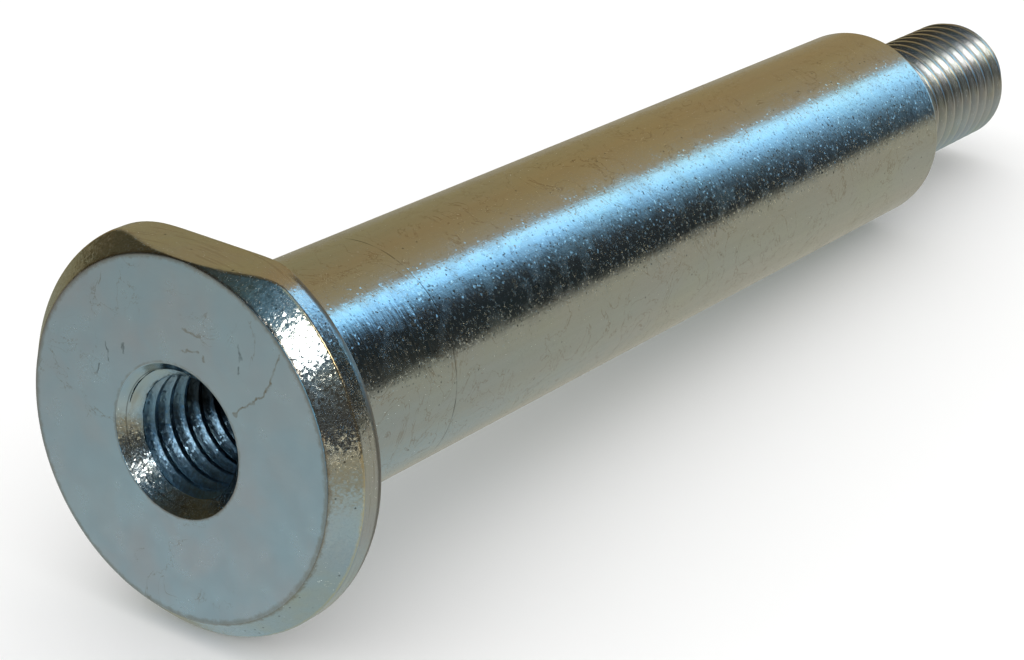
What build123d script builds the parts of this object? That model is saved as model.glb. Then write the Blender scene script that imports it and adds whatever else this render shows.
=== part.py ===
from build123d import *

import os
from math import asin, atan2, degrees, hypot, radians, tan

# Headed pivot pin, turned as one piece: a chamfered flange head with one flat, a plain shank and a stud.
# It is drawn with its axis along +X and the centre of the head's seat at the origin.
# It is then tipped about that point to lie on the head's rim and the shank's far edge, flat up.
# The stud's thread is a row of ring grooves, and the tapped hole is plain at its thread's minor diameter.
# Millimetres, +Z up.

# Head.
head_diameter = 30.0
head_thickness = 4.35
front_chamfer_length = 1.85  # along the axis
front_chamfer_depth = 1.68  # across the radius
rear_round = 1.25
flat_height = 13.4  # from the axis to the flat

# Shank, from the head's seat to the shoulder behind the stud.
shank_diameter = 18.0
shank_length = 91.65
shank_edge = 0.3

# Stud for an M12 x 1.75 nut, with its thread as ring grooves one pitch apart.
stud_diameter = 11.9  # over the crests
stud_length = 21.75
stud_chamfer = 0.95
thread_pitch = 1.75
thread_depth = 1.05
crest_width = 0.26
root_width = 0.28
groove_count = 11
last_groove_inset = 1.75  # from the stud's end to the middle of the last groove

# Blind hole tapped M10 x 1.5, at the minor diameter of the thread.
hole_diameter = 8.6
hole_depth = 24.0  # of full diameter, from the front face
mouth_diameter = 11.25
countersink_angle = 90.0
drill_point_angle = 118.0

# Radii and stations along the axis that follow from the dimensions above.
head_radius = head_diameter / 2
face_radius = head_radius - front_chamfer_depth
shank_radius = shank_diameter / 2
stud_radius = stud_diameter / 2
hole_radius = hole_diameter / 2
mouth_radius = mouth_diameter / 2
front_x = -head_thickness
stud_end_x = shank_length + stud_length
hole_end_x = front_x + hole_depth
countersink_length = (mouth_radius - hole_radius) / tan(radians(countersink_angle / 2))
drill_point_length = hole_radius / tan(radians(drill_point_angle / 2))

# Corners of the grooves on the stud, from the shoulder outwards.
half_mouth = (thread_pitch - crest_width) / 2
groove_section = [
    (-half_mouth, 0),
    (-root_width / 2, thread_depth),
    (root_width / 2, thread_depth),
    (half_mouth, 0),
]
last_groove_x = stud_end_x - last_groove_inset
grooves = [
    (last_groove_x - turn * thread_pitch + offset, stud_radius - depth)
    for turn in reversed(range(groove_count))
    for offset, depth in groove_section
]

# Half section of the pin, one side of the axis.
head_front = Polyline(
    (front_x + countersink_length, hole_radius),
    (front_x, mouth_radius),
    (front_x, face_radius),
    (front_x + front_chamfer_length, head_radius),
    (-rear_round, head_radius),
)
head_rear = CenterArc((-rear_round, head_radius - rear_round), rear_round, 0, 90)
body = Polyline(
    (0, head_radius - rear_round),
    (0, shank_radius),
    (shank_length - shank_edge, shank_radius),
    (shank_length, shank_radius - shank_edge),
    (shank_length, stud_radius),
    *grooves,
    (stud_end_x - stud_chamfer, stud_radius),
    (stud_end_x, stud_radius - stud_chamfer),
    (stud_end_x, 0),
    (hole_end_x + drill_point_length, 0),
    (hole_end_x, hole_radius),
    (front_x + countersink_length, hole_radius),
)
half_section = make_face(head_front + head_rear + body)
pin = revolve(Plane.XZ * half_section, Axis.X)

# The flat takes one side off the head only, as the shank is well inside its height.
flat_cutter = Box(2 * head_thickness, head_diameter, head_radius)
pin -= Pos(front_x / 2, 0, flat_height + head_radius / 2) * flat_cutter

# Tip that brings the head's rear round and the shank's far edge onto one level floor.
touch_run = shank_length - shank_edge + rear_round
touch_rise = head_radius - rear_round - shank_radius
tip = atan2(touch_rise, touch_run) + asin(rear_round / hypot(touch_run, touch_rise))
pin = pin.rotate(Axis.Y, degrees(tip))

os.makedirs("parts", exist_ok=True)
export_step(pin, "parts/pin.step")
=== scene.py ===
"""Looks of a headed pivot pin, turned in one piece and zinc plated.

The pin is one closed surface: a profile of station x and radius r carried round the
pin's axis, with true threads on the stud and in the blind hole. Lengths of the shape
are millimetres in the pin's own drawing frame, whose axis is +X and whose origin is
the centre of the head's seat. The last step tips the drawing to where the pin lies
and turns it into metres.
"""

from math import asin, atan2, cos, hypot, pi, radians, sin, tan

import bmesh
import bpy
import numpy as np
from mathutils import Matrix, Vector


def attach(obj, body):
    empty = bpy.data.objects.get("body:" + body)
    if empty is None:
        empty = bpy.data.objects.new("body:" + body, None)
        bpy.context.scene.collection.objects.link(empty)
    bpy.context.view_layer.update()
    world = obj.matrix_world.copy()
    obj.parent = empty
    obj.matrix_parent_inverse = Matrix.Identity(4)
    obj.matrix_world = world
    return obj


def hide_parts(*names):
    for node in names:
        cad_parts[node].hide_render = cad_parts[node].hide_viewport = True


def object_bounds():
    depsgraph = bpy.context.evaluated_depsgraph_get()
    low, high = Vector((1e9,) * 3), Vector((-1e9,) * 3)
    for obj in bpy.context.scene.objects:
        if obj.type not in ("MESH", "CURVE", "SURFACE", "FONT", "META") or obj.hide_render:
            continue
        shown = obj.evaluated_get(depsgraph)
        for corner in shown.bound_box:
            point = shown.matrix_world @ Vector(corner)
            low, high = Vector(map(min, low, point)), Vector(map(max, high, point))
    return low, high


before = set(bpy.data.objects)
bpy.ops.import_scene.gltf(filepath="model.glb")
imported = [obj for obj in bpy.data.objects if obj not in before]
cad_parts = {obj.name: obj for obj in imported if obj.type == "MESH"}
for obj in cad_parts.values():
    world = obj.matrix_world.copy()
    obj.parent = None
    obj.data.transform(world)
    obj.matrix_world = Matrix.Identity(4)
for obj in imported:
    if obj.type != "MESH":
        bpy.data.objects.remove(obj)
cad_low, cad_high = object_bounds()

# ------------------------------------------------------------------ sizes, millimetres
HEAD_R = 15.0
FACE_R = 13.32
FRONT_X = -4.35
CHAMFER_LENGTH = 1.85
REAR_ROUND = 1.25
SEAT_R = HEAD_R - REAR_ROUND
FLAT_Z = 13.4
FLAT_BLEND = 0.75
SHANK_R = 9.0
SHANK_END = 91.65
SHANK_EDGE = 0.3
STUD_R = 5.95
STUD_END = 113.4
STUD_CHAMFER = 0.95
HOLE_R = 4.3
MOUTH_R = 5.625
HOLE_END = FRONT_X + 24.0
DRILL_TIP = HOLE_END + HOLE_R / tan(radians(59))

# Threads: pitch, width of the crest, width of the root, depth and share of easing. The
# phases set where the turns start, and each turn has THREAD_STEPS rows.
STUD_THREAD = (1.75, 0.34, 0.26, 1.05, 0.55)
HOLE_THREAD = (1.5, 0.30, 0.14, 0.72, 0.5)
STUD_PHASE = 0.64
HOLE_PHASE = 0.20
THREAD_STEPS = 16
TAP_END = FRONT_X + 18.0
CONE_END_R = 5.04
FEED_END = 13.2
SCORE_X = 15.54
CONE_RING_R = 5.105

touch_run = SHANK_END - SHANK_EDGE + REAR_ROUND
touch_rise = SEAT_R - SHANK_R
TIP = atan2(touch_rise, touch_run) + asin(REAR_ROUND / hypot(touch_run, touch_rise))
METRES = 0.001

# ------------------------------------------------------------------ the turned surface
# Columns stand at angles theta from the pin's top, right-handed about +X. They stand
# closer together over the head's flat and the two corners where it ends.
flat_span = radians(34)
theta = np.concatenate([
    np.linspace(-flat_span, flat_span, 49),
    np.linspace(flat_span, 2 * pi - flat_span, 141)[1:],
])
ZONES = ("hole", "face", "chamfer", "land", "shank", "end", "stud")


def point(x, r):
    """One row of the grid: station x and radius r, each a number or one value per column."""
    return np.stack(np.broadcast_arrays(x, r, theta)[:2])


def rings(*corners):
    """Rows at the given (x, r) corners."""
    return np.stack([point(x, r) for x, r in corners])


def straight(a, b, count):
    """Rows a + (b - a) * t for t = 1/count ... 1, so the first row is left out."""
    t = np.linspace(0, 1, count + 1)[1:, None, None]
    pa, pb = point(*a), point(*b)
    return pa + (pb - pa) * t


def edged(corners, edges, counts):
    """Profile through corners. Each corner P is rounded by the parabola
    (1-t)^2 A + 2t(1-t) P + t^2 B, where A and B lie its edge length before and after P.
    The straight run up to a corner has counts steps, the last of them short, so that
    the shading of the round doesn't spread over the flat next to it."""
    pts = [point(*c) for c in corners]
    out = [pts[0][None]]
    last = pts[0]
    for i, (p, edge) in enumerate(zip(pts[1:], edges), 1):
        a = b = p
        rounded = np.any(edge)
        if rounded:
            before, after = last - p, pts[i + 1] - p
            long_before = np.maximum(np.hypot(*before), 1e-9)
            long_after = np.maximum(np.hypot(*after), 1e-9)
            a = p + before * np.minimum(edge / long_before, 0.45)
            b = p + after * np.minimum(edge / long_after, 0.45)
        steps = np.linspace(0, 1, counts[i - 1] + 1)[1:]
        near = 0.06 / np.maximum(np.hypot(*(a - last)), 0.06).mean()
        steps = np.unique(np.concatenate([steps, [min(near, 0.3), max(1 - near, 0.7)]]))
        out.append(last + (a - last) * steps[:, None, None])
        if rounded:
            t = np.linspace(0, 1, 5)[1:, None, None]
            out.append((1 - t) ** 2 * a + 2 * t * (1 - t) * p + t ** 2 * b)
        last = b
    return out


def thread_form(x, phase, thread):
    """Share of the thread's depth at station x: 0 on the crest, 1 in the root, with
    straight flanks f, mixed by the share of easing with 3f^2 - 2f^3."""
    pitch, crest, root, _, ease = thread
    turn = x / pitch - theta / (2 * pi) - phase
    away = np.abs((turn + 0.5) % 1.0 - 0.5) * pitch
    f = np.clip((away - crest / 2) / ((pitch - crest - root) / 2), 0, 1)
    return (1 - ease) * f + ease * f * f * (3 - 2 * f)


def helix_stations(x0, x1, phase, pitch, steps):
    """Rows that climb with a right-hand thread, x = pitch * (k / steps + phase + theta / 2 pi),
    held between x0 and x1, so that each crest and each root lies along a row."""
    turn = theta / (2 * pi) + phase
    low = int(np.floor(x0 / pitch - turn.max())) - 1
    high = int(np.ceil(x1 / pitch - turn.min())) + 1
    k = np.arange(low * steps, high * steps + 1)[:, None]
    return np.clip((k / steps + turn) * pitch, x0, x1)


def stud_rows():
    """r = crest radius - depth * form, fading out near the shoulder, and never more than
    the end chamfer, which loses 1 mm of radius for 1 mm of length."""
    x = helix_stations(SHANK_END, STUD_END, STUD_PHASE, STUD_THREAD[0], THREAD_STEPS)
    depth = STUD_THREAD[3] * np.clip((x - SHANK_END - 0.7) / 1.6, 0, 1)
    r = STUD_R - depth * thread_form(x, STUD_PHASE, STUD_THREAD)
    return np.stack([x, np.minimum(r, STUD_R - STUD_CHAMFER + STUD_END - x)], 1)


def hole_rows():
    """r = minor radius + depth * form, fading out where the tap stopped, and never less
    than the countersink, which loses 1 mm of radius for 1 mm of depth."""
    start = FRONT_X + MOUTH_R - CONE_END_R
    x = helix_stations(start, TAP_END, HOLE_PHASE, HOLE_THREAD[0], THREAD_STEPS)[::-1]
    depth = HOLE_THREAD[3] * np.clip((TAP_END - x) / 2.4, 0, 1)
    r = HOLE_R + depth * thread_form(x, HOLE_PHASE, HOLE_THREAD)
    return np.stack([x, np.maximum(r, MOUTH_R - (x - FRONT_X))], 1)


def rear_round_rows(cut, start):
    """Quarter round at the rim's back, (x, r) = (-R + R cos u, seat radius + R sin u), from
    the angle where the land or the flat reaches it down to u = 0 at the seat."""
    u = start * (1 - np.linspace(0, 1, 9)[1:, None])
    x = -REAR_ROUND + REAR_ROUND * np.cos(u)
    r = SEAT_R + REAR_ROUND * np.sin(u)
    short = cut < SEAT_R
    return np.stack([np.where(short, 0.0, x), np.where(short, cut, r)], 1)


def groove(x, depth, width, r):
    """Rows of a fine score round the shank, with a flat row close on each side of it."""
    half = width / 2
    return rings((x - 1.6 * half, r), (x - half, r), (x, r - depth), (x + half, r), (x + 1.6 * half, r))


def profile():
    """All rows from the drill point's pole to the pole of the stud's end, and each row's zone.
    Across the flat the head's radius is flat height / cos(theta), joined to the full
    radius by a smooth minimum: with share h, cut = b + (a - b) h - k h (1 - h). The chamfer,
    the land and the rear round end where they reach that radius."""
    blocks, zones = [], []

    def put(zone, *rows):
        for block in rows:
            blocks.append(block)
            zones.extend([ZONES.index(zone)] * len(block))

    put("hole", rings((DRILL_TIP, 0.0)))
    put("hole", straight((DRILL_TIP, 0.0), (HOLE_END, HOLE_R), 6))
    put("hole", straight((HOLE_END, HOLE_R), (TAP_END, HOLE_R), 6))
    put("hole", hole_rows())
    cone = [(FRONT_X + MOUTH_R - r, r) for r in (5.07, 5.085, CONE_RING_R, 5.125, 5.14, 5.25, 5.4)]
    cone[2] = (cone[2][0] + 0.0015, cone[2][1] + 0.0015)
    put("hole", rings(*cone))

    facing = np.maximum(np.cos(theta), 0.5)
    share = np.clip(0.5 + (HEAD_R - FLAT_Z / facing) / (2 * FLAT_BLEND), 0, 1)
    cut = HEAD_R + (FLAT_Z / facing - HEAD_R) * share - FLAT_BLEND * share * (1 - share)
    chamfer_x = FRONT_X + (cut - FACE_R) * CHAMFER_LENGTH / (HEAD_R - FACE_R)
    over = np.clip(cut - SEAT_R, 0, REAR_ROUND)
    round_x = np.where(cut < SEAT_R, 0.0, np.sqrt(REAR_ROUND ** 2 - over ** 2) - REAR_ROUND)
    head = edged(
        [(FRONT_X + 0.12, MOUTH_R - 0.12), (FRONT_X, MOUTH_R), (FRONT_X, FACE_R),
         (chamfer_x, cut), (round_x, cut)],
        (0.06, 0.13, 0.13 + 0.15 * share, 0), (1, 8, 8, 6))
    put("hole", head[0], head[1], head[2][:2])
    put("face", head[2][2:], head[3], head[4][:2])
    put("chamfer", head[4][2:], head[5], head[6][:2])
    put("land", head[6][2:], head[7])
    put("land", rear_round_rows(cut, np.arctan2(over, round_x + REAR_ROUND)))
    put("land", straight((0.0, np.minimum(SEAT_R, cut)), (0.0, SHANK_R), 5))

    put("shank", straight((0.0, SHANK_R), (12.8, SHANK_R), 6))
    put("shank", groove(FEED_END, 0.004, 0.16, SHANK_R))
    put("shank", groove(SCORE_X, 0.010, 0.14, SHANK_R))
    tail = edged(
        [(16.0, SHANK_R), (SHANK_END, SHANK_R), (SHANK_END, STUD_R)],
        (SHANK_EDGE, 0), (24, 4))
    put("shank", *tail[:3])
    put("end", *tail[3:])
    put("stud", stud_rows())
    rim = np.minimum(STUD_R - STUD_CHAMFER, blocks[-1][-1][1])
    put("end", straight((STUD_END, rim), (STUD_END, 0.0), 5))
    return np.concatenate(blocks), np.array(zones)


def turned_pin():
    """Each grid point (x, r, theta) is (x, -r sin(theta), r cos(theta)), tipped about Y.
    Rows or columns that meet are merged, so the seam and both poles are closed."""
    grid, zones = profile()
    x, r = grid[:, 0], grid[:, 1]
    y, z = -r * np.sin(theta), r * np.cos(theta)
    c, s = cos(TIP), sin(TIP)
    points = np.stack([c * x + s * z, y, c * z - s * x], -1) * METRES
    index = np.arange(x.size).reshape(x.shape)
    quads = np.stack([index[:-1, :-1], index[:-1, 1:], index[1:, 1:], index[1:, :-1]], -1)
    mesh = bpy.data.meshes.new("turned_pin")
    mesh.from_pydata(points.reshape(-1, 3), [], quads.reshape(-1, 4))
    mesh.polygons.foreach_set("material_index", np.repeat(zones[1:], len(theta) - 1).astype(np.int32))
    merged = bmesh.new()
    merged.from_mesh(mesh)
    bmesh.ops.remove_doubles(merged, verts=merged.verts, dist=2e-6)
    bmesh.ops.dissolve_degenerate(merged, edges=merged.edges, dist=1e-6)
    merged.to_mesh(mesh)
    merged.free()
    mesh.shade_smooth()
    mesh.set_sharp_from_angle(angle=radians(25))
    made = bpy.data.objects.new("turned_pin", mesh)
    bpy.context.scene.collection.objects.link(made)
    return made


# ------------------------------------------------------------------ node helpers
class Net:
    """Adds nodes to one tree. A value is a number, a tuple or another node's socket."""

    def __init__(self, tree):
        self.tree = tree

    def put(self, socket, value):
        if isinstance(value, bpy.types.NodeSocket):
            self.tree.links.new(value, socket)
        elif value is not None:
            socket.default_value = value

    def __call__(self, kind, *values, out=0, named=None, **settings):
        """A node of that kind, with its first inputs or its named inputs set: one output."""
        node = self.tree.nodes.new("ShaderNode" + kind)
        for key, value in settings.items():
            setattr(node, key, value)
        for socket, value in zip(node.inputs, values):
            self.put(socket, value)
        for key, value in (named or {}).items():
            self.put(node.inputs[key], value)
        return node.outputs[out]

    def math(self, operation, *values):
        return self("Math", *values, operation=operation)

    def vector(self, operation, *values, out=0):
        return self("VectorMath", *values, operation=operation, out=out)

    def step(self, value, start, end, low=0.0, high=1.0):
        """Smooth step from low at start to high at end."""
        return self("MapRange", value, start, end, low, high, interpolation_type="SMOOTHSTEP")

    def mix(self, share, a, b, blend="MIX"):
        node = self.tree.nodes.new("ShaderNodeMix")
        node.data_type = "RGBA"
        node.blend_type = blend
        for place, value in ((0, share), (6, a), (7, b)):
            self.put(node.inputs[place], value)
        return node.outputs[2]

    def noise(self, where, scale, detail=2.0, rough=0.5, distortion=0.0):
        return self("TexNoise", where, named={
            "Scale": scale, "Detail": detail, "Roughness": rough, "Distortion": distortion})

    def effect(self, tree, out=0, **inputs):
        """One use of a shared effect, with its named inputs set (_ stands for a space)."""
        node = self.tree.nodes.new("ShaderNodeGroup")
        node.node_tree = tree
        for key, value in inputs.items():
            self.put(node.inputs[key.replace("_", " ")], value)
        return node.outputs[out]

    def drawing(self):
        """Object coordinates turned back to the drawing frame, in millimetres."""
        place = self("TexCoord", out=3)
        size = 1 / METRES
        return self("Mapping", place, None, (0, -TIP, 0), (size, size, size), vector_type="POINT")

    def polar(self):
        """Station along the axis, radius from it and angle from the top, in mm and radians."""
        x, y, z = self("SeparateXYZ", self.drawing()).node.outputs
        radius = self.math("SQRT", self.math("ADD", self.math("MULTIPLY", y, y), self.math("MULTIPLY", z, z)))
        angle = self.math("ARCTAN2", self.math("MULTIPLY", y, -1.0), z)
        return x, radius, angle


def shared(name, inputs, build, output="Mask"):
    """A node group with those named number inputs and one output, built by build."""
    tree = bpy.data.node_groups.new(name, "ShaderNodeTree")
    for label, value in inputs.items():
        socket = tree.interface.new_socket(label, in_out="INPUT", socket_type="NodeSocketFloat")
        socket.default_value = value
    tree.interface.new_socket(output, in_out="OUTPUT", socket_type="NodeSocketFloat")
    net = Net(tree)
    given = tree.nodes.new("NodeGroupInput").outputs
    tree.links.new(build(net, given), tree.nodes.new("NodeGroupOutput").inputs[0])
    return tree


# ------------------------------------------------------------------ shared effects
def build_grain(net, given):
    """Fine uneven skin of the plating: noise whose cells are Size mm across."""
    scale = net.math("DIVIDE", 1.0, given["Size"])
    return net.noise(net.drawing(), scale, 3.0, 0.62)


def build_clouds(net, given):
    """Soft patches Size mm across, pulled long along the axis by Stretch."""
    squash = net.math("DIVIDE", 1.0, given["Stretch"])
    along = net("CombineXYZ", squash, 1.0, 1.0)
    moved = net.vector("MULTIPLY", net.drawing(), along)
    moved = net.vector("ADD", moved, net("CombineXYZ", given["Seed"], given["Seed"], 0.0))
    fog = net.noise(moved, net.math("DIVIDE", 1.0, given["Size"]), 3.0, 0.55, 0.4)
    return net.step(fog, 0.32, 0.68)


def build_turned(net, given):
    """Uneven turning marks: noise that is Across mm fine over station plus radius and
    about Along mm long round the axis, kept where the station lies before End."""
    x, radius, angle = net.polar()
    reach = net.math("DIVIDE", radius, given["Along"])
    place = net("CombineXYZ",
                net.math("MULTIPLY", net.math("SINE", angle), reach),
                net.math("MULTIPLY", net.math("COSINE", angle), reach),
                net.math("DIVIDE", net.math("ADD", x, radius), given["Across"]))
    field = net.noise(place, 1.0, 2.0, 0.55)
    before = net.step(x, given["End"], net.math("SUBTRACT", given["End"], 0.4))
    return net.math("MULTIPLY", field, before)


def build_hairlines(net, given):
    """Fine wandering stains: where a warped noise passes through its middle value, kept
    only inside patches that cover a share Cover of the surface."""
    where = net.vector("ADD", net.drawing(), net("CombineXYZ", given["Seed"], 0.0, given["Seed"]))
    field = net.noise(where, net.math("DIVIDE", 1.0, given["Size"]), 5.0, 0.62, 1.2)
    away = net.math("ABSOLUTE", net.math("SUBTRACT", field, 0.5))
    line = net.step(away, given["Width"], 0.0)
    limit = net.math("SUBTRACT", 0.68, net.math("MULTIPLY", given["Cover"], 0.36))
    patch = net.noise(where, net.math("DIVIDE", 0.9, given["Size"]), 2.0)
    patch = net.step(net.math("SUBTRACT", patch, limit), 0.0, 0.08)
    return net.math("MULTIPLY", line, patch)


def build_pits(net, given):
    """Small round specks: cells Spacing mm apart, of which a share Share has a speck whose
    radius is Size times the cell's."""
    cells = net("TexVoronoi", net.drawing(), named={
        "Scale": net.math("DIVIDE", 1.0, given["Spacing"])}).node.outputs
    dot = net.step(cells["Distance"], given["Size"], net.math("MULTIPLY", given["Size"], 0.45))
    chance = net("SeparateColor", cells["Color"], out=0)
    return net.math("MULTIPLY", dot, net.math("LESS_THAN", chance, given["Share"]))


def build_facets(net, given):
    """Crystals of the plating: cells Size mm across, of which a share Share is a flat facet
    that leans its own way, so its height is offset from the cell's middle times a lean."""
    place = net.drawing()
    cells = net("TexVoronoi", place, named={
        "Scale": net.math("DIVIDE", 1.0, given["Size"])}).node.outputs
    lean = net.vector("SUBTRACT", cells["Color"], (0.5, 0.5, 0.5))
    offset = net.vector("SUBTRACT", place, cells["Position"])
    rise = net.vector("DOT_PRODUCT", offset, lean, out=1)
    chance = net.math("FRACT", net.vector("DOT_PRODUCT", cells["Color"], (13.7, 7.3, 3.1), out=1))
    return net.math("MULTIPLY", rise, net.math("LESS_THAN", chance, given["Share"]))


def build_lower(net, given):
    """1 on the lower side of the pin, 0 on its upper side, Soft mm wide at the change."""
    _, _, z = net("SeparateXYZ", net.drawing()).node.outputs
    return net.step(z, given["Soft"], net.math("MULTIPLY", given["Soft"], -1.0))


def build_streaks(net, given):
    """Long faint streaks along the axis: noise of the place round the axis, Width mm wide,
    that changes slowly over Length mm."""
    along = net("CombineXYZ", net.math("DIVIDE", given["Width"], given["Length"]), 1.0, 1.0)
    field = net.noise(net.vector("MULTIPLY", net.drawing(), along),
                      net.math("DIVIDE", 1.0, given["Width"]), 3.0, 0.6)
    return net.step(field, 0.35, 0.65)


def build_scratch(net, given):
    """A single mark on the face from (From Y, From Z) to (To Y, To Z): 1 within half of
    Width of that segment, its path wandering a little and its strength uneven."""
    place = net.drawing()
    wander = net("TexNoise", place, named={"Scale": 1.4, "Detail": 3.0}, out=1)
    wander = net.vector("SCALE", net.vector("SUBTRACT", wander, (0.5, 0.5, 0.5)))
    wander.node.inputs["Scale"].default_value = 0.9
    place = net.vector("MULTIPLY", net.vector("ADD", place, wander), (0, 1, 1))
    start = net("CombineXYZ", 0.0, given["From Y"], given["From Z"])
    end = net("CombineXYZ", 0.0, given["To Y"], given["To Z"])
    run = net.vector("SUBTRACT", end, start)
    gone = net.vector("SUBTRACT", place, start)
    share = net.math("DIVIDE", net.vector("DOT_PRODUCT", gone, run, out=1),
                     net.vector("DOT_PRODUCT", run, run, out=1))
    share = net("Clamp", share)
    near = net.vector("MULTIPLY_ADD", run, net("CombineXYZ", share, share, share), start)
    away = net.vector("DISTANCE", place, near, out=1)
    line = net.step(away, given["Width"], net.math("MULTIPLY", given["Width"], 0.3))
    uneven = net.step(net.noise(net.drawing(), 2.2, 3.0), 0.3, 0.6, 0.35, 1.0)
    return net.math("MULTIPLY", line, uneven)


def build_rim(net, given):
    """A band round the axis centred on Radius and Width mm wide, broken up by noise."""
    _, radius, _ = net.polar()
    uneven = net.math("MULTIPLY", net.math("SUBTRACT", net.noise(net.drawing(), 1.6, 4.0, 0.7), 0.5), 0.5)
    away = net.math("ABSOLUTE", net.math("SUBTRACT", radius, given["Radius"]))
    away = net.math("ADD", away, net.math("MULTIPLY", uneven, given["Ragged"]))
    return net.step(away, given["Width"], 0.0)


grain = shared("plating grain", {"Size": 0.3}, build_grain, "Height")
clouds = shared("plating clouds", {"Size": 8.0, "Stretch": 1.0, "Seed": 0.0}, build_clouds)
turned = shared("turned grain", {"Across": 0.4, "Along": 4.0, "End": 500.0}, build_turned, "Height")
hairlines = shared(
    "hairline stains", {"Size": 5.0, "Width": 0.01, "Cover": 0.4, "Seed": 0.0}, build_hairlines)
pits = shared("pits", {"Spacing": 1.0, "Size": 0.2, "Share": 0.2}, build_pits)
facets = shared("plating facets", {"Size": 0.2, "Share": 0.3}, build_facets, "Height")
lower = shared("lower side", {"Soft": 1.0}, build_lower)
streaks = shared("drawn streaks", {"Length": 60.0, "Width": 0.8}, build_streaks)
scratch = shared(
    "scratch", {"From Y": 0.0, "From Z": 0.0, "To Y": 1.0, "To Z": 1.0, "Width": 0.1}, build_scratch)
rim = shared("rim band", {"Radius": 10.0, "Width": 0.2, "Ragged": 0.5}, build_rim)

# ------------------------------------------------------------------ materials
ZINC = (0.585, 0.60, 0.60, 1)
ZINC_BLUE = (0.53, 0.61, 0.64, 1)
ZINC_YELLOW = (0.62, 0.60, 0.50, 1)
ZINC_PINK = (0.62, 0.57, 0.56, 1)
STAIN = (0.30, 0.20, 0.11, 1)
SPECK = (0.10, 0.10, 0.09, 1)
# Colour of a painted highlight along the head's outer edge.
EDGE_HIGHLIGHT_TONE = (0.85, 0.66, 0.36, 1)
BACK_SHADE = (0.12, 0.11, 0.10, 1)
DRAWN = (0.52, 0.50, 0.44, 1)
# Colour of a painted reflection: the blue window mirrored inside the hole.
BLUE_REFLECTION_TONE = (0.28, 0.50, 0.68, 1)
# Colour of the painted shadow deep inside the hole.
HOLE_SHADOW_TONE = (0.03, 0.03, 0.03, 1)


def total(net, *heights):
    """Sum of (height socket, millimetres) pairs."""
    out = None
    for socket, size in heights:
        part = net.math("MULTIPLY", socket, size)
        out = part if out is None else net.math("ADD", out, part)
    return out


def tinted(net, size, stretch, first, second):
    """Zinc colour drifting from plain to one tint and then to another in soft patches."""
    colour = net.mix(net.effect(clouds, Size=size, Stretch=stretch, Seed=3.0), ZINC, first)
    patch = net.effect(clouds, Size=size * 0.6, Stretch=stretch, Seed=11.0)
    return net.mix(net.math("MULTIPLY", patch, 0.6), colour, second)


def darkened(net, colour, mask, tint, share):
    """Colour mixed towards tint by mask times share."""
    return net.mix(net.math("MULTIPLY", mask, share), colour, tint)


def face_look(net):
    colour = tinted(net, 8.5, 1.0, ZINC_PINK, ZINC_BLUE)
    stains = net.effect(hairlines, Size=5.0, Width=0.007, Cover=0.42, Seed=2.0)
    colour = darkened(net, colour, stains, STAIN, 0.5)
    colour = darkened(net, colour, net.effect(pits, Spacing=1.4, Size=0.11, Share=0.16), SPECK, 0.55)
    crack = ((-5.2, 3.55), (-5.85, 4.4), (-7.15, 5.35), (-7.9, 6.15), (-8.25, 7.1), (-8.65, 8.4), (-9.0, 9.0))
    marks = [(a, b, 0.13, STAIN, 0.6) for a, b in zip(crack, crack[1:])]
    marks += [(a, b, 0.11, SPECK, 0.6) for a, b in (
        ((6.45, 5.6), (6.37, 4.15)), ((4.9, 5.85), (4.9, 5.1)), ((7.25, 3.55), (7.15, 2.95)),
        ((-5.45, 8.8), (-5.5, 7.75)), ((-5.45, 7.2), (-5.45, 6.65)))]
    marks += [(a, b, 0.13, STAIN, 0.55) for a, b in (
        ((-0.55, 8.45), (-1.2, 8.4)), ((-1.2, 8.4), (-2.05, 8.45)), ((-0.55, 7.0), (-1.75, 7.15)),
        ((-2.35, 7.1), (-2.5, 6.7)))]
    for (y0, z0), (y1, z1), width, tint, share in marks:
        mark = net.effect(scratch, From_Y=y0, From_Z=z0, To_Y=y1, To_Z=z1, Width=width)
        colour = darkened(net, colour, mark, tint, share)
    fringe = net.effect(rim, Radius=FACE_R - 0.1, Width=0.35, Ragged=1.3)
    colour = darkened(net, colour, fringe, STAIN, 0.5)
    mouth = net.effect(rim, Radius=MOUTH_R, Width=0.25, Ragged=1.0)
    colour = darkened(net, colour, mouth, STAIN, 0.45)
    rough = net("MapRange", net.effect(clouds, Size=2.0), 0, 1, 0.27, 0.36)
    height = total(net,
                   (net.effect(grain, Size=0.3), 0.009),
                   (net.effect(turned, Across=0.3, Along=5.0), 0.0015))
    return colour, rough, height


def chamfer_look(net):
    colour = tinted(net, 5.5, 1.0, ZINC_YELLOW, ZINC_BLUE)
    colour = darkened(net, colour, net.effect(pits, Spacing=0.5, Size=0.22, Share=0.25), SPECK, 0.7)
    # Painted highlight: a thin bright orange band where the chamfer meets the land.
    edge = net.effect(rim, Radius=HEAD_R, Width=0.2, Ragged=0.5)
    colour = darkened(net, colour, edge, EDGE_HIGHLIGHT_TONE, 0.6)
    inner = net.effect(rim, Radius=FACE_R, Width=0.24, Ragged=1.2)
    colour = darkened(net, colour, inner, STAIN, 0.6)
    rough = net("MapRange", net.effect(clouds, Size=1.0), 0, 1, 0.06, 0.12)
    height = total(net,
                   (net.effect(grain, Size=0.24), 0.013),
                   (net.effect(facets, Size=0.19, Share=0.85), 0.115),
                   (net.effect(turned, Across=0.5, Along=1.5), 0.008))
    return colour, rough, height


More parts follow.
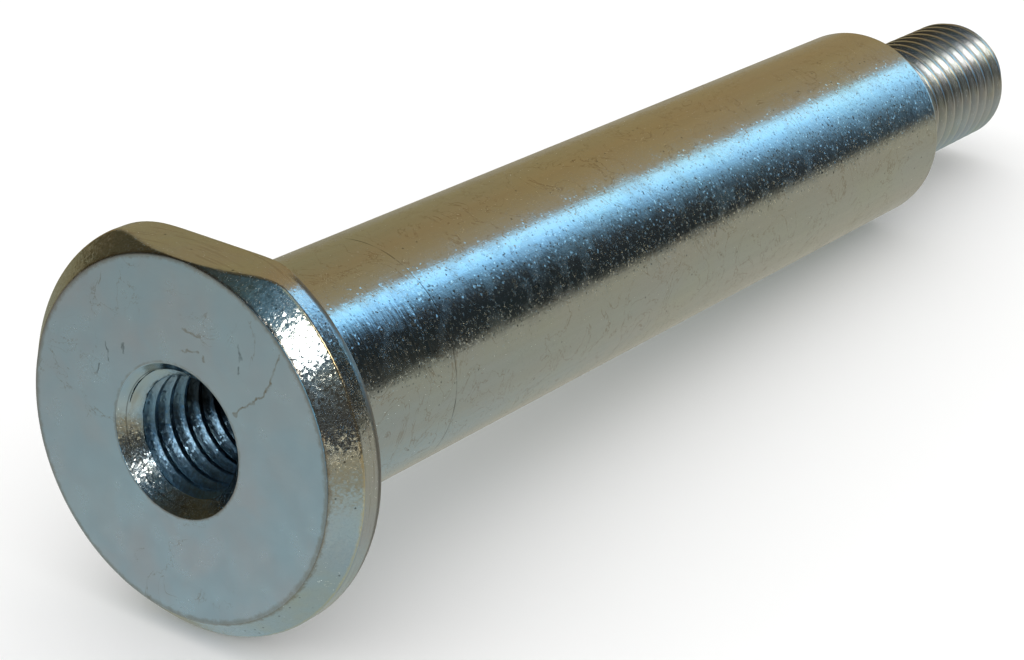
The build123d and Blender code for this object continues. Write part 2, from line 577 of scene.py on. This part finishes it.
def land_look(net):
    colour = tinted(net, 6.5, 1.0, ZINC_YELLOW, ZINC_PINK)
    colour = darkened(net, colour, net.effect(pits, Spacing=0.85, Size=0.16, Share=0.15), SPECK, 0.6)
    lines = net.step(net.effect(turned, Across=0.28, Along=4.0), 0.56, 0.66)
    colour = darkened(net, colour, lines, STAIN, 0.18)
    x, _, z = net("SeparateXYZ", net.drawing()).node.outputs
    rough = net("MapRange", net.effect(clouds, Size=1.5), 0, 1, 0.14, 0.24)
    back = net.math("MULTIPLY", net.step(x, -1.3, -1.0), net.step(z, FLAT_Z - 0.1, FLAT_Z - 0.5))
    colour = darkened(net, colour, back, BACK_SHADE, 0.85)
    rough = net.math("ADD", rough, net.math("MULTIPLY", back, 0.12))
    height = total(net,
                   (net.effect(grain, Size=0.28), 0.012),
                   (net.effect(facets, Size=0.13, Share=0.4), 0.15),
                   (net.effect(turned, Across=0.35, Along=3.0), 0.006))
    return colour, rough, height


def shank_look(net):
    x, _, _ = net.polar()
    colour = net.mix(net.step(x, 0.0, 50.0), ZINC_BLUE, ZINC_YELLOW)
    colour = net.mix(0.55, colour, tinted(net, 6.5, 2.0, ZINC_YELLOW, ZINC_PINK))
    off_score = net.math("ABSOLUTE", net.math("SUBTRACT", x, SCORE_X))
    score = net.math("MULTIPLY", net.step(off_score, 0.09, 0.03), net.effect(clouds, Size=1.6, Seed=21.0))
    colour = darkened(net, colour, score, SPECK, 0.85)
    colour = darkened(net, colour, net.effect(streaks, Length=60.0, Width=0.9), DRAWN, 0.25)
    stains = net.effect(hairlines, Size=4.5, Width=0.012, Cover=0.8, Seed=5.0)
    colour = darkened(net, colour, stains, STAIN, 0.42)
    colour = darkened(net, colour, net.effect(pits, Spacing=0.9, Size=0.12, Share=0.3), SPECK, 0.7)
    scuffed = net.step(net.effect(clouds, Size=2.2, Seed=17.0), 0.55, 0.95)
    rough = net("MapRange", scuffed, 0, 1, 0.10, 0.20)
    height = total(net,
                   (net.effect(grain, Size=0.26), 0.006),
                   (net.effect(facets, Size=0.15, Share=0.16), 0.15),
                   (net.effect(clouds, Size=2.2), 0.004),
                   (net.effect(streaks, Length=40.0, Width=0.5), -0.0015),
                   (net.effect(turned, Across=0.36, Along=4.0, End=FEED_END), 0.013))
    return colour, rough, height


def stud_look(net):
    colour = tinted(net, 4.0, 1.0, ZINC_YELLOW, ZINC_PINK)
    rough = net("MapRange", net.effect(clouds, Size=1.5), 0, 1, 0.20, 0.26)
    height = total(net,
                   (net.effect(grain, Size=0.3), 0.006),
                   (net.effect(turned, Across=0.4, Along=3.0), 0.003))
    return colour, rough, height


def hole_look(net):
    colour = tinted(net, 3.0, 1.0, ZINC_BLUE, ZINC_YELLOW)
    x, _, z = net("SeparateXYZ", net.drawing()).node.outputs
    below = net.effect(lower, Soft=1.5)
    # Painted reflection: inside the hole the colour is pulled towards blue, more on the lower side, standing
    # in for the blue window that the thread flanks mirror.
    inside = net.step(x, FRONT_X + 0.9, FRONT_X + 1.7)
    painted_blue_reflection = net.math("MULTIPLY", inside, net.step(z, 2.4, 0.4, 0.35, 0.85))
    colour = net.mix(painted_blue_reflection, colour, BLUE_REFLECTION_TONE)
    soot = net.math("MULTIPLY", net.effect(clouds, Size=0.25, Seed=9.0), below)
    colour = darkened(net, colour, soot, SPECK, 0.4)
    colour = darkened(net, colour, net.effect(rim, Radius=CONE_RING_R, Width=0.055, Ragged=0.1), SPECK, 0.6)
    # Painted shadow: deeper in the hole the colour goes nearly black, starting further in on the lower side,
    # where more light gets past the mouth.
    lit = net.math("MULTIPLY", net.math("MAXIMUM", net.math("SUBTRACT", -0.4, z), 0.0), 1.5)
    painted_hole_shadow = net.step(net.math("SUBTRACT", x, lit), FRONT_X + 5.2, FRONT_X + 6.8)
    colour = darkened(net, colour, painted_hole_shadow, HOLE_SHADOW_TONE, 0.88)
    rough = net("MapRange", inside, 0, 1, 0.13, 0.29)
    coarse = net.math("MAXIMUM", below, inside)
    height = total(net,
                   (net.effect(grain, Size=0.25), 0.005),
                   (net.math("MULTIPLY", net.effect(facets, Size=0.13, Share=0.6), coarse), 0.26),
                   (net.math("MULTIPLY", net.effect(turned, Across=0.16, Along=1.6), coarse), 0.014))
    return colour, rough, height


def end_look(net):
    colour = tinted(net, 5.0, 1.0, ZINC_YELLOW, ZINC_BLUE)
    rough = net("MapRange", net.effect(clouds, Size=2.0), 0, 1, 0.2, 0.3)
    height = total(net,
                   (net.effect(grain, Size=0.3), 0.01),
                   (net.effect(turned, Across=0.3, Along=5.0), 0.008))
    return colour, rough, height


def plated(name, look):
    """A zinc-plated finish: metal whose colour, roughness and relief come from look."""
    material = bpy.data.materials.new(name)
    material.use_nodes = True
    net = Net(material.node_tree)
    shader = material.node_tree.nodes["Principled BSDF"]
    colour, rough, height = look(net)
    bump = net("Bump", named={"Strength": 1.0, "Distance": METRES, "Height": height})
    shader.inputs["Metallic"].default_value = 1.0
    net.put(shader.inputs["Base Color"], colour)
    net.put(shader.inputs["Roughness"], rough)
    net.put(shader.inputs["Normal"], bump)
    return material


LOOKS = {"hole": hole_look, "face": face_look, "chamfer": chamfer_look, "land": land_look,
         "shank": shank_look, "end": end_look, "stud": stud_look}
pin = turned_pin()
for zone in ZONES:
    pin.data.materials.append(plated("zinc_" + zone, LOOKS[zone]))
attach(pin, "root")
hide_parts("pin")


# ------------------------------------------------------------------ floor
def make_floor():
    """A pale matt floor, 8 m square, at the pin's lowest point. What the metal mirrors is
    the studio below, so the floor itself is left out of its reflections."""
    half = 4.0
    mesh = bpy.data.meshes.new("floor")
    corners = np.array([(-half, -half), (half, -half), (half, half), (-half, half)])
    level = np.full((4, 1), cad_low.z)
    mesh.from_pydata(np.hstack([corners, level]), [], [(0, 1, 2, 3)])
    material = bpy.data.materials.new("pale_floor")
    material.use_nodes = True
    shader = material.node_tree.nodes["Principled BSDF"]
    shader.inputs["Base Color"].default_value = (0.9, 0.9, 0.895, 1)
    shader.inputs["Roughness"].default_value = 1.0
    shader.inputs["Specular IOR Level"].default_value = 0.0
    mesh.materials.append(material)
    made = bpy.data.objects.new("floor", mesh)
    made.visible_glossy = False
    bpy.context.scene.collection.objects.link(made)


# ------------------------------------------------------------------ studio light
# Rings of what stands round the pin, each a list of (azimuth in degrees, colour).
# Azimuth 0 is +X, the way the stud points, and 90 is +Y.
OVERHEAD = (
    (-180, (0.07, 0.13, 0.17)), (-150, (0.16, 0.28, 0.36)), (-120, (0.35, 0.45, 0.50)),
    (-60, (0.35, 0.45, 0.50)), (-35, (0.05, 0.06, 0.06)), (0, (0.14, 0.12, 0.08)), (60, (0.12, 0.10, 0.06)),
    (110, (0.04, 0.04, 0.03)), (150, (0.05, 0.07, 0.07)), (180, (0.07, 0.13, 0.17)))
WALLS = (
    (-180, (0.05, 0.08, 0.11)), (-165, (0.06, 0.085, 0.105)), (-152, (0.065, 0.068, 0.06)),
    (-140, (0.10, 0.105, 0.10)), (-125, (0.055, 0.053, 0.05)),
    (-47, (0.07, 0.07, 0.06)), (-38, (0.016, 0.024, 0.028)), (-31, (0.035, 0.042, 0.048)),
    (-26, (0.11, 0.21, 0.32)), (-20, (0.38, 0.84, 1.38)), (-15, (0.60, 1.32, 2.05)),
    (-8.5, (0.76, 1.42, 1.98)), (-5, (0.43, 0.62, 0.75)), (-2.5, (0.42, 0.41, 0.35)),
    (4, (0.40, 0.34, 0.225)), (18, (0.385, 0.305, 0.165)), (28, (0.365, 0.275, 0.14)),
    (42, (0.32, 0.275, 0.148)), (56, (0.31, 0.26, 0.15)), (70, (0.235, 0.19, 0.11)),
    (83, (0.085, 0.07, 0.035)), (126, (0.035, 0.032, 0.02)), (150, (0.05, 0.046, 0.035)),
    (180, (0.05, 0.08, 0.11)))
NEAR_GROUND = (
    (-180, (0.10, 0.13, 0.14)), (-165, (0.10, 0.13, 0.14)), (-150, (0.26, 0.27, 0.24)),
    (-138, (0.35, 0.33, 0.26)), (-125, (0.35, 0.31, 0.22)),
    (-90, (0.36, 0.36, 0.30)), (-36, (0.39, 0.40, 0.35)), (0, (0.40, 0.38, 0.30)),
    (36, (0.36, 0.325, 0.235)), (57, (0.265, 0.25, 0.165)), (75, (0.22, 0.20, 0.12)),
    (112, (0.26, 0.28, 0.28)), (138, (0.30, 0.33, 0.30)), (165, (0.30, 0.33, 0.30)),
    (180, (0.10, 0.13, 0.14)))
GROUND = (
    (-180, (0.30, 0.36, 0.38)), (-165, (0.28, 0.32, 0.32)), (-150, (0.39, 0.42, 0.38)),
    (-138, (0.44, 0.53, 0.53)), (-110, (0.43, 0.51, 0.52)), (-90, (0.40, 0.45, 0.43)),
    (-40, (0.38, 0.41, 0.375)), (-15, (0.41, 0.425, 0.375)), (0, (0.41, 0.41, 0.355)),
    (30, (0.40, 0.395, 0.335)), (45, (0.30, 0.30, 0.235)), (60, (0.22, 0.23, 0.18)),
    (100, (0.34, 0.40, 0.41)), (139, (0.455, 0.62, 0.69)), (165, (0.455, 0.62, 0.69)),
    (180, (0.30, 0.36, 0.38)))
NADIR = (0.37, 0.46, 0.48, 1)
PLAIN_LIGHT = 1.22
# Lamps: azimuth, elevation, radius and soft edge in degrees, colour.
LAMPS = (
    (-141, 42, 6.2, 3.0, (8.0, 8.0, 7.8)),
    (-142, 40, 11.0, 14.0, (0.10, 0.16, 0.22)),
    (-165, 26, 6.0, 3.0, (3.2, 3.3, 3.3)),
    (-177, 3, 9.0, 11.0, (0.21, 0.64, 1.06)),
    (-85, 45, 8.0, 6.0, (3.0, 2.7, 1.9)),
    (-126, -3, 1.2, 1.6, (1.3, 1.2, 0.9)),
)


def ring_colour(net, turn, ring):
    """Colour of a ring at a share of a turn, which is azimuth / 360 + 1/2."""
    node = net("ValToRGB", turn).node
    stops = node.color_ramp.elements
    while len(stops) < len(ring):
        stops.new(0.5)
    for stop, (azimuth, colour) in zip(stops, ring):
        stop.position = azimuth / 360 + 0.5
        stop.color = (*colour, 1)
    return node.outputs[0]


def make_studio():
    """Soft even light on the floor, and coloured surroundings that the metal mirrors."""
    world = bpy.data.worlds.new("studio")
    bpy.context.scene.world = world
    world.use_nodes = True
    world.node_tree.nodes.clear()
    world.cycles.sampling_method = "NONE"
    net = Net(world.node_tree)
    direction = net("TexCoord")
    dx, dy, dz = net("SeparateXYZ", direction).node.outputs
    height = net.math("MULTIPLY", net.math("ARCSINE", dz), 180 / pi)
    turn = net.math("ADD", net.math("DIVIDE", net.math("ARCTAN2", dy, dx), 2 * pi), 0.5)
    colour = ring_colour(net, turn, GROUND)
    colour = net.mix(net.step(height, -38, -55), colour, NADIR)
    colour = net.mix(net.step(height, -31, -12), colour, ring_colour(net, turn, NEAR_GROUND))
    colour = net.mix(net.step(height, -7.5, 2.0), colour, ring_colour(net, turn, WALLS))
    colour = net.mix(net.step(height, 42, 58), colour, ring_colour(net, turn, OVERHEAD))
    for azimuth, elevation, radius, soft, light in LAMPS:
        a, e = radians(azimuth), radians(elevation)
        towards = (cos(a) * cos(e), sin(a) * cos(e), sin(e))
        near = net.vector("DOT_PRODUCT", direction, towards, out=1)
        disc = net.step(near, cos(radians(radius + soft)), cos(radians(radius)))
        colour = net.mix(1.0, colour, net.mix(disc, (0, 0, 0, 1), (*light, 1)), "ADD")
    mirrored = net("Background", colour, 1.0)
    plain = net("Background", (1.0, 1.0, 1.0, 1), PLAIN_LIGHT)
    glossy = net("LightPath").node.outputs["Is Glossy Ray"]
    output = net.tree.nodes.new("ShaderNodeOutputWorld")
    net.put(output.inputs["Surface"], net("MixShader", glossy, plain, mirrored))


# ------------------------------------------------------------------ camera
def make_camera():
    """Camera above and before the head, at a place and a turn in the pin's own frame."""
    lens = bpy.data.cameras.new("camera")
    lens.sensor_width = 36.0
    lens.lens = 90.482
    lens.clip_start = 0.01
    lens.clip_end = 20.0
    right = (0.58406445, -0.8113894, 0.02271468)
    up = (0.34459842, 0.27319576, 0.89811803)
    back = (-0.73492901, -0.51673137, 0.43916744)
    place = (-0.11702596, -0.10693606, 0.08450923)
    camera = bpy.data.objects.new("camera", lens)
    camera.matrix_world = Matrix([*zip(right, up, back, place), (0, 0, 0, 1)])
    bpy.context.scene.collection.objects.link(camera)
    bpy.context.scene.camera = camera


make_floor()
make_studio()
make_camera()
bpy.context.scene.view_settings.view_transform = "Standard"

bpy.context.view_layer.update()
